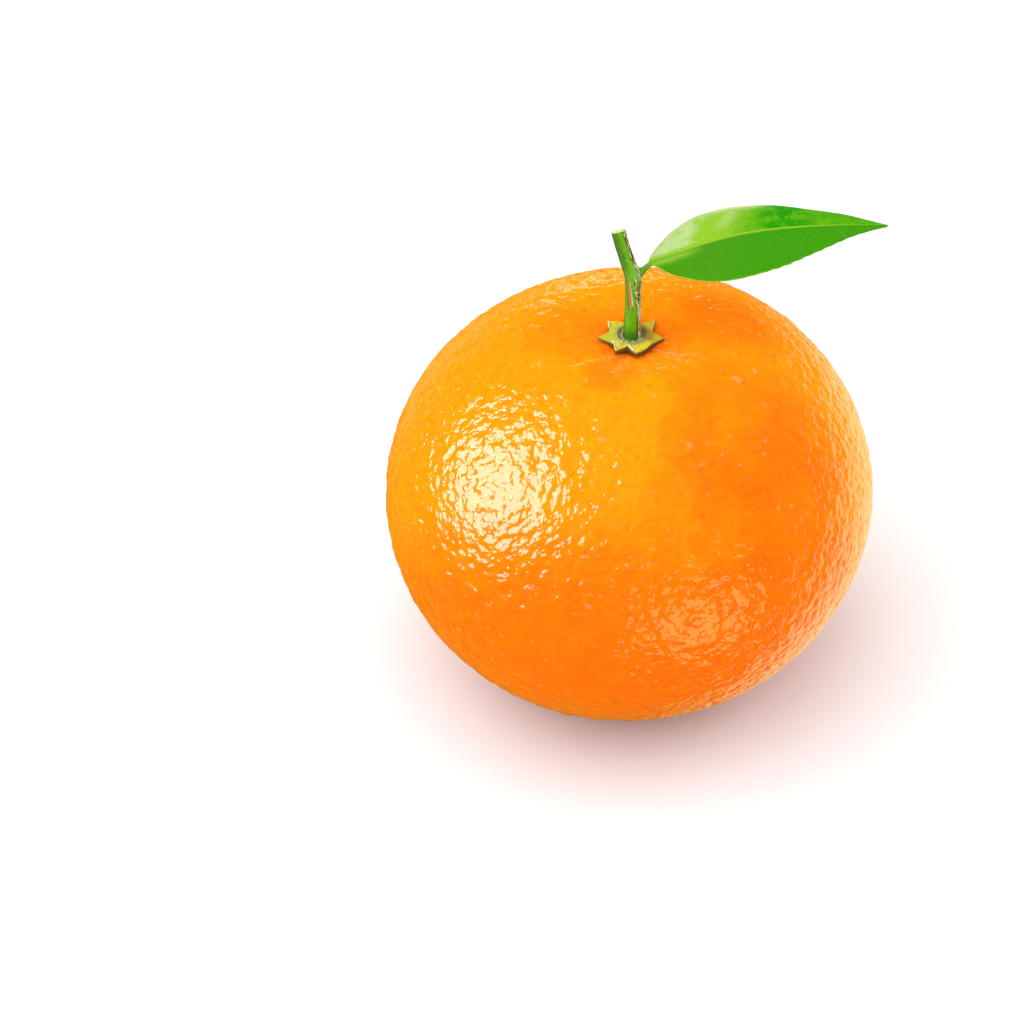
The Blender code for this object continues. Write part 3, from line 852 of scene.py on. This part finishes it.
def build_twig(settings):
    """A ridged green twig with a swelling at the leaf joint, a corky streak, a scar and a cut end."""
    heights = np.linspace(TWIG_LINE[0][0], TWIG_LINE[-1][0], settings.rings)
    line = smooth_through(TWIG_LINE, heights) * MM
    foot = (TOP_X, TOP_Y, seat_height(TOP_X, TOP_Y) + TWIG_FOOT_RISE)
    centres = np.column_stack((line[:, :2], heights * MM)) + foot
    tangents = unit(np.gradient(centres, axis=0))
    side = unit(np.cross((0, 1, 0), tangents))
    front = np.cross(tangents, side)
    angles = np.arange(settings.sides) * 2 * math.pi / settings.sides
    across, ahead = np.cos(angles), np.sin(angles)
    high, turned = np.meshgrid(heights, angles, indexing="ij")
    towards = across[:, None] * side[:, None, :] + ahead[:, None] * front[:, None, :]
    radius = line[:, 2][:, None] * np.ones_like(high)
    radius += JOINT_SWELL * lump(high * MM - JOINT_HEIGHT, JOINT_SPREAD) * np.clip(across, 0, 1) ** 2
    bark = stacked(across * 1.1, ahead * 1.1, high / 6)
    ridges = grains(bark, BARK_RIDGES)
    flecks = grain(bark * (1, 1, 3), 0.2, 8.0)
    # Two corky strands run down the right side; the front one fades at the joint
    cork = np.zeros_like(high)
    crack = np.zeros_like(high)
    for path, width, first, last in CORK_STRANDS:
        middle = smooth_through(path, heights) + 0.1 * grain(stacked(width, 0, high / 1.3), 1.0)
        fade = ease(first - 0.6, first, high) * (1 - ease(last, last + 0.8, high))
        aside = turn_from(turned, middle) / width
        cork = np.maximum(cork, fade * (1 - ease(0.5, 0.9, np.abs(aside) + 0.9 * flecks - 0.35 * ridges)))
        crack = np.maximum(crack, fade * (1 - ease(1.0, 1.35, np.abs(aside + 0.3 * ridges))))
    crack = np.clip(crack * (1 - cork), 0, 1)
    # The scar is a slit on the front, wider below, with a pale right edge and a dark rim
    up_scar = high - SCAR_MIDDLE
    in_scar = turn_from(turned, SCAR_TURN - 0.08 * up_scar) / (0.26 - 0.035 * up_scar)
    beyond = np.hypot(in_scar, up_scar / SCAR_HALF)
    scar = 1 - ease(0.75, 1.0, beyond + 0.1 * flecks)
    scar_ends = np.abs(up_scar) / SCAR_HALF
    scar_rim = lump(beyond - 1.18, 0.26) * (1 - 0.8 * ease(0.8, 1.0, scar_ends))
    scar_lip = lump(in_scar - 0.95, 0.3) * (1 - ease(0.6, 0.9, scar_ends))
    radius += settings.ridge * ridges + 0.06 * MM * cork * (0.6 + ridges) - 0.05 * MM * crack
    radius += (-0.1 * scar + 0.06 * scar_lip + 0.03 * scar_rim) * MM
    rings = centres[:, None, :] + radius[..., None] * towards
    # The cut end: a small bevel, then rings in to the pith, which sits a little lower
    marks, rises = np.array(CUT_RINGS).T[..., None]
    lift = (rises + 0.05 * grain(stacked(across * marks, ahead * marks, 0), 0.35)) * MM
    ends = centres[-1] + (rings[-1] - centres[-1]) * marks[..., None] + lift[..., None] * tangents[-1]
    rings = np.concatenate((rings, ends))
    # Painted shade: the bark is coloured darker along its left side, and on the left of its front in its
    # upper part
    shaded = lump(turn_from(turned, -math.pi), 0.55)
    shaded = shaded + 0.9 * ease(8, 11, high) * (1 - ease(-2.0, -0.9, turn_from(turned, 0)))
    upper_edge = lump(turn_from(turned, -0.05), 0.3) * ease(9.0, 10.0, high)
    # Painted shade: olive on the left side of the twig's upper part
    left_edge_shade = lump(turn_from(turned, -math.pi), 0.5) * lump(high - 10.8, 1.5)
    joint = lump(high - JOINT_HEIGHT / MM - 0.8, 1.2) * lump(turn_from(turned, -0.25), 0.75)
    cut_rim = ease(0.6, 0.95, marks + 0.25 * grain(stacked(across * marks, ahead * marks, marks), 0.4))
    cut = ease(0.99, 0.9, marks) * np.ones_like(cut_rim)
    none, nowhere = np.zeros_like(high), np.zeros_like(cut)
    layers = {
        "shaded": (shaded + 0.25 * ridges + 0.3 * flecks, nowhere),
        "olive": (np.maximum(upper_edge, left_edge_shade) * (0.8 + 0.5 * flecks), nowhere),
        "foot": (1 - ease(0.2, 2.2, high + 0.5 * ridges), nowhere),
        "joint": (joint, nowhere),
        "cork": (cork * (1 - 0.7 * joint), nowhere),
        "chip": (ease(0.0, 0.3, grain(bark, 0.13, 5.5) + 0.4 * flecks + 0.25 * ease(9, 11, high)), nowhere),
        "crack": (np.maximum(crack * (1 - 0.8 * joint), scar_rim * (1 - scar)), nowhere),
        "scar": (scar, nowhere),
        "lip": (scar_lip, nowhere),
        "cut": (none, cut),
        "cut_rim": (none, 0.55 * cut_rim * cut),
    }
    return skin("twig_bark", rings, {label: np.concatenate(pair) for label, pair in layers.items()})


def twig_material(settings):
    """Young citrus bark, grown: smooth green rind with long ridges, and a rough corky streak."""
    made, tree, shader, place = new_material(
        "Young green bark with cork", Roughness=0.5, IOR=1.4, Specular_IOR_Level=0.15
    )
    speck = add_node(tree, "TexNoise", {"Vector": place, "Scale": 1 / (0.3 * MM), "Detail": 4.0})
    dark = add_node(tree, "MapRange", {"Value": speck, "From Min": 0.4, "From Max": 0.7, "To Max": 0.45})
    coats = (
        ("shaded", settings.green_deep, 1.0),
        ("olive", settings.olive, 0.8),
        ("joint", settings.joint, 0.8),
        ("foot", settings.foot, 0.85),
        ("cork", painted(tree, settings.cork, (("chip", settings.crack, 1.0),)), 0.95),
        ("crack", settings.crack, 0.85),
        ("scar", settings.scar, 1.0),
        ("lip", settings.cork, 1.0),
        ("cut", settings.pith, 1.0),
        ("cut_rim", settings.olive, 1.0),
    )
    tint = painted(tree, mixed(tree, dark, settings.green, settings.green_deep), coats)
    bump = add_node(tree, "Bump", {"Height": speck, "Distance": 0.04 * MM})
    feed(tree, shader, {"Base Color": tint, "Normal": bump})
    return made


def build_leaf(settings):
    """A round stalk that widens into a thin arched blade with midrib, side veins and a fine edge."""
    share = np.linspace(LEAF_LINE[0][0], 1, settings.sections)[:, None]
    middle = smooth_through(LEAF_LINE, share[:, 0]) * MM
    along = unit(np.gradient(middle, axis=0))
    level = unit(np.cross((0, 0, 1), along))
    upright = np.cross(along, level)
    blade = np.clip((share - BLADE_START) / (1 - BLADE_START), 0, 1)
    spread = ease(0, 0.06, share)
    scallop = np.sin(2 * math.pi * SCALLOP_COUNT * blade + 1.5 * np.sin(9 * blade)) * np.sin(math.pi * blade)
    scallop *= EDGE_SCALLOP * (0.3 + 0.7 * ease(0.35, 0.55, blade))
    flare = STALK_FLARE * lump(share - LEAF_LINE[0][0], 0.03)
    near = smooth_through(NEAR_HALF, blade[:, 0]) * MM + scallop
    far = smooth_through(FAR_HALF, blade[:, 0]) * MM + 0.2 * scallop
    v = np.linspace(-1, 1, 2 * settings.columns + 1)
    v = np.clip(np.sin(v * EDGE_CROWDING) / math.sin(EDGE_CROWDING), -1, 1)
    half = np.where(v < 0, near, far) + flare
    tilt = np.where(v < 0, NEAR_TILT + NEAR_ARCH * v, -FAR_ARCH * v) * spread
    across = np.cos(tilt)[..., None] * level[:, None] + np.sin(tilt)[..., None] * upright[:, None]
    normal = np.cos(tilt)[..., None] * upright[:, None] - np.sin(tilt)[..., None] * level[:, None]
    wave = EDGE_WAVE * np.where(v < 0, 0.6, 0.25) * v**2 * np.sin(7 * math.pi * share + v)
    wave = wave * np.sin(math.pi * np.clip(share, 0, 1))
    aside = np.abs(v) * half / MM
    point_at = blade * BLADE_LENGTH
    # Side veins leave the midrib at an angle and bend towards the tip
    gap = settings.vein_spacing / MM
    phase = (point_at - VEIN_SLANT * aside - VEIN_BEND * aside**2) / gap + np.where(v < 0, 0.5, 0)
    off_vein = np.abs(phase - np.round(phase)) * gap
    on_blade = ease(0.02, 0.1, blade) * ease(1.0, 0.85, np.abs(v)) * ease(0.1, 0.6, aside)
    sheet = stacked(point_at, np.sign(v) * aside, 0)
    vein = lump(off_vein, 0.16) * on_blade * ease(0.95, 0.8, blade)
    vein *= 0.15 + ease(0, 0.5, grain(sheet, 7, 2.2))
    puff = np.cos(2 * math.pi * phase) * on_blade * spread
    rib_width = RIB_WIDTH * (1 - 0.7 * blade)
    rib = lump(aside, rib_width) * spread
    mottle = grains(sheet, LEAF_MOTTLE)
    ridge = 0.1 * lump(aside, 0.4 * rib_width) - 0.05 * lump(aside, 2.2 * rib_width)
    over_relief = (0.015 * mottle * spread - 0.008 * puff + ridge * spread) * MM - settings.vein_relief * vein
    under_relief = RIB_DEPTH * (1 - 0.75 * blade) * rib + 2.0 * settings.vein_relief * vein - 0.03 * MM * puff
    thick = (STALK_RADIUS + flare) * np.sqrt(1 - v**2) * (1 - spread)
    thick = thick + settings.thickness / 2 * np.sqrt(1 - np.abs(v) ** 6) * spread
    body = middle[:, None] + (v * half)[..., None] * across + wave[..., None] * normal
    over = body + (thick + over_relief)[..., None] * upright[:, None]
    under = body - (thick + under_relief)[..., None] * upright[:, None]
    # Painted light and shade: the far half is painted lighter than the near half, and pale as painted sheen
    # near the stalk, in an oblique band and along its outer edge towards the stalk; past its middle it is
    # mottled dark. The near half is painted darker towards the tip as shade
    far_side = ease(-0.01, 0.03, v)
    oblique = point_at - 0.54 * aside
    blotch = grains(sheet, LEAF_BLOTCHES)
    pale = 1 - ease(3.2, 6.8, oblique + 1.8 * blotch)
    pale = np.maximum(pale, 0.45 * lump(oblique - 9.6, 1.2) * ease(0.15, 0.45, v))
    pale = np.maximum(pale, 0.75 * ease(0.7, 0.95, v) * (1 - ease(13, 20, point_at)))
    pale *= far_side * ease(0.3, 1.0, aside) * (1 - 0.5 * np.clip(blotch, 0, 1))
    # Painted highlight: a pale band beside the midrib on the near half, near the stalk
    near_band = (1 - far_side) * lump(aside - 0.6, 0.5) * (1 - ease(4, 8.5, point_at))
    dark = ease(-0.75, 0.35, mottle + 0.6 * grain(sheet, 0.45, 7.7))
    dark *= ease(11.5, 17.5, oblique + 1.5 * blotch) * (1 - 0.6 * ease(21, 25, point_at))
    near_painted_shade = 0.3 * ease(5, 18, point_at) + 0.12 * mottle
    rim = ease(0.97, 0.995, np.abs(v)) * spread
    stalk = 1 - spread
    layers = {
        "vein": (np.maximum(0.16 * vein, lump(aside, 0.28 * rib_width) * spread), np.maximum(vein, rib)),
        "rim": (rim, rim),
        "under": (0, spread),
        "stalk": (stalk, stalk),
        "far": (far_side, 0),
        "bloom_and_sheen": (far_side * (1 - ease(8, 16, oblique + 1.5 * blotch)) + 0.8 * near_band, 0),
        "dark": (far_side * dark + (1 - far_side) * near_painted_shade, 0),
        "pale": ((pale + 0.05 * near_band) * spread, 0),
    }

    def both(top, bottom):
        return np.concatenate((top, bottom[:, -2:0:-1]), axis=1)

    layers = {k: both(*(side + 0 * aside for side in pair)) for k, pair in layers.items()}
    return skin("leaf_blade", both(over, under), layers, flip=True)


def leaf_material(settings):
    """Citrus leaf, grown: a thin leathery blade whose waxy cuticle shines over mottled green tissue, whose
    colours also carry painted light and sheen on the far half and painted shade on the near half.
    """
    made, tree, shader, place = new_material("Waxy citrus leaf", IOR=1.45, Specular_IOR_Level=0.22)
    coats = (
        # The far, yellow-green and pale coats carry painted light and sheen; the dark coat carries painted
        # shade on the near half
        ("far", settings.green_light, 1.0),
        ("bloom_and_sheen", settings.bloom_and_sheen, 1.0),
        ("dark", settings.green_deep, 1.0),
        ("pale", settings.pale, 1.0),
        ("under", settings.under, 1.0),
        ("vein", settings.vein, 0.8),
        ("rim", settings.vein, 0.7),
        ("stalk", settings.stalk, 1.0),
    )
    tint = speckled(tree, place, painted(tree, settings.green, coats), 0.35 * MM, 0.92, 1.07)
    cells = add_node(tree, "TexNoise", {"Vector": place, "Scale": 1 / (0.35 * MM), "Detail": 2.0})
    rough = add_node(tree, "MapRange", {"Value": cells, "To Min": 0.14, "To Max": 0.26})
    bump = add_node(tree, "Bump", {"Height": cells, "Distance": 0.015 * MM})
    feed(tree, shader, {"Base Color": tint, "Roughness": rough, "Normal": bump})
    return made


def floor_material(settings):
    """Matt white paper sweep: even and without gloss."""
    made, tree, shader, place = new_material("Matt white paper", Roughness=0.9, Specular_IOR_Level=0.1)
    pulp = add_node(tree, "TexNoise", {"Vector": place, "Scale": 1 / 0.4, "Detail": 2.0})
    factor = add_node(tree, "MapRange", {"Value": pulp, "To Max": 0.06})
    feed(tree, shader, {"Base Color": mixed(tree, factor, settings.floor, linear("#CCCCCC"))})
    return made


def build_floor(settings):
    """A wide level floor under the fruit, which its gloss doesn't show."""
    half = settings.floor_size / 2
    corners = [(-half, -half, 0), (half, -half, 0), (half, half, 0), (-half, half, 0)]
    floor = mesh_object("floor", corners, [(0, 1, 2, 3)], {})
    floor.data.materials.append(floor_material(settings))
    floor.visible_glossy = False


def build_tent(settings):
    """A white cloth tent round everything: it lights evenly and makes the background."""
    toward, faces, _ = even_grid(12)
    tent = mesh_object("tent", toward * settings.tent_radius, faces, {})
    made = bpy.data.materials.new("White tent cloth, lit")
    made.use_nodes = True
    tree = made.node_tree
    tree.nodes.clear()
    glow = add_node(tree, "Emission", {"Color": (1, 1, 1), "Strength": settings.tent})
    add_node(tree, "OutputMaterial", {"Surface": glow})
    made.cycles.emission_sampling = "NONE"
    tent.data.materials.append(made)
    tent.visible_glossy = False
    tent.visible_shadow = False


def add_lamp(name, place, width, brightness, in_gloss):
    """A round soft light that looks at the fruit's middle. It shows in the gloss, or it lights evenly."""
    light = bpy.data.lights.new(name, "AREA")
    light.shape = "DISK"
    light.size = width
    light.energy = brightness * math.pi * math.pi * width**2 / 4
    lamp = bpy.data.objects.new(name, light)
    toward, distance = place
    toward = Vector(toward).normalized()
    lamp.location = Vector((0, 0, MIDDLE_HEIGHT)) + toward * distance
    lamp.rotation_mode = "QUATERNION"
    lamp.rotation_quaternion = toward.to_track_quat("Z", "Y")
    lamp.visible_camera = False
    lamp.visible_glossy = in_gloss
    lamp.visible_diffuse = not in_gloss
    bpy.context.scene.collection.objects.link(lamp)


def build_surroundings(settings):
    """What the gloss shows: a dim room with pale walls low behind and a warm glow from below in front."""
    world = bpy.data.worlds.new("Studio")
    bpy.context.scene.world = world
    world.use_nodes = True
    world.cycles_visibility.diffuse = False
    tree = world.node_tree
    toward = add_node(tree, "TexCoord").outputs["Generated"]
    seen = tree.nodes["Background"]
    feed(tree, seen, {"Color": (1, 1, 1), "Strength": settings.dim})
    looks = (
        (settings.wall, settings.wall_tint),
        (settings.left, settings.glow_tint),
        (settings.streak, settings.wall_tint),
        (settings.glow, settings.glow_tint),
    )
    for (middle, edge, core), (brightness, tint) in zip(CARDS, looks):
        facing = add_node(tree, "VectorMath", {0: toward, 1: middle}, operation="DOT_PRODUCT")
        reach = {"From Min": math.cos(edge * DEGREE), "From Max": math.cos(core * DEGREE)}
        inputs = {"Value": facing.outputs["Value"], **reach, "To Max": brightness}
        strength = add_node(tree, "MapRange", inputs, interpolation_type="SMOOTHSTEP")
        card = add_node(tree, "Background", {"Color": tint, "Strength": strength})
        seen = add_node(tree, "AddShader", {0: seen, 1: card})
    feed(tree, tree.nodes["World Output"], {"Surface": seen})


def build_camera():
    """The camera looks down on the fruit, a little past its left side."""
    right = Vector((1, 0, 0))
    up = Vector((0, math.sin(VIEW_HEIGHT), math.cos(VIEW_HEIGHT)))
    back = Vector((0, -math.cos(VIEW_HEIGHT), math.sin(VIEW_HEIGHT)))
    middle = Vector((0, 0, MIDDLE_HEIGHT))
    location = middle + back * VIEW_DISTANCE
    aim = middle - right * VIEW_ASIDE - up * VIEW_BELOW
    back = (location - aim).normalized()
    right = (right - back * right.dot(back)).normalized()
    up = back.cross(right)
    camera = bpy.data.cameras.new("camera")
    camera.lens = VIEW_LENS
    camera.sensor_width = 36
    eye = bpy.data.objects.new("camera", camera)
    turned = Matrix((right, up, back)).transposed().to_4x4()
    eye.matrix_world = Matrix.Translation(location) @ turned
    bpy.context.scene.collection.objects.link(eye)
    bpy.context.scene.camera = eye


class MANDARIN_OT_peel(bpy.types.Operator):
    """Builds the peel over the frame's fruit"""

    bl_idname = "mandarin.peel"
    bl_label = "Build peel"

    def execute(self, context):
        settings = context.scene.mandarin_peel
        finish_piece(build_peel(settings), peel_material(settings), "fruit")
        return {"FINISHED"}


class MANDARIN_OT_calyx(bpy.types.Operator):
    """Builds the calyx over the frame's calyx"""

    bl_idname = "mandarin.calyx"
    bl_label = "Build calyx"

    def execute(self, context):
        settings = context.scene.mandarin_calyx
        finish_piece(build_calyx(settings), calyx_material(settings), "calyx")
        return {"FINISHED"}


class MANDARIN_OT_twig(bpy.types.Operator):
    """Builds the twig over the frame's stem"""

    bl_idname = "mandarin.twig"
    bl_label = "Build twig"

    def execute(self, context):
        settings = context.scene.mandarin_twig
        finish_piece(build_twig(settings), twig_material(settings), "stem")
        return {"FINISHED"}


class MANDARIN_OT_leaf(bpy.types.Operator):
    """Builds the leaf over the frame's leaf"""

    bl_idname = "mandarin.leaf"
    bl_label = "Build leaf"

    def execute(self, context):
        settings = context.scene.mandarin_leaf
        finish_piece(build_leaf(settings), leaf_material(settings), "leaf")
        return {"FINISHED"}


class MANDARIN_OT_stage(bpy.types.Operator):
    """Sets up the floor, lights, surroundings and camera"""

    bl_idname = "mandarin.stage"
    bl_label = "Set stage"

    def execute(self, context):
        settings = context.scene.mandarin_stage
        build_floor(settings)
        build_tent(settings)
        add_lamp("soft light", SOFT_LAMP, settings.soft_width, settings.soft_radiance, False)
        add_lamp("back light", BACK_LAMP, settings.back_width, settings.back_radiance, False)
        add_lamp("key light", KEY_LAMP, settings.key_width, settings.key_radiance, True)
        build_surroundings(settings)
        build_camera()
        context.scene.view_settings.view_transform = "Standard"
        return {"FINISHED"}


class MANDARIN_PT_panel(bpy.types.Panel):
    """Lists the pieces, their sizes and their colours"""

    bl_idname = "MANDARIN_PT_panel"
    bl_label = "Mandarin"
    bl_space_type = "VIEW_3D"
    bl_region_type = "UI"
    bl_category = "Mandarin"

    def draw(self, context):
        for part in PARTS:
            box = self.layout.box()
            settings = getattr(context.scene, "mandarin_" + part)
            for label in settings.bl_rna.properties.keys():
                if label not in ("rna_type", "name"):
                    box.prop(settings, label)
            box.operator("mandarin." + part)


PARTS = {
    "peel": PeelSettings,
    "calyx": CalyxSettings,
    "twig": TwigSettings,
    "leaf": LeafSettings,
    "stage": StageSettings,
}
CLASSES = (
    *PARTS.values(),
    MANDARIN_OT_peel,
    MANDARIN_OT_calyx,
    MANDARIN_OT_twig,
    MANDARIN_OT_leaf,
    MANDARIN_OT_stage,
    MANDARIN_PT_panel,
)


def register():
    for made in CLASSES:
        bpy.utils.register_class(made)
    for part, group in PARTS.items():
        setattr(bpy.types.Scene, "mandarin_" + part, PointerProperty(type=group))


def unregister():
    for part in PARTS:
        delattr(bpy.types.Scene, "mandarin_" + part)
    for made in reversed(CLASSES):
        bpy.utils.unregister_class(made)


def main():
    register()
    for part in PARTS:
        getattr(bpy.ops.mandarin, part)()


if __name__ == "__main__":
    main()
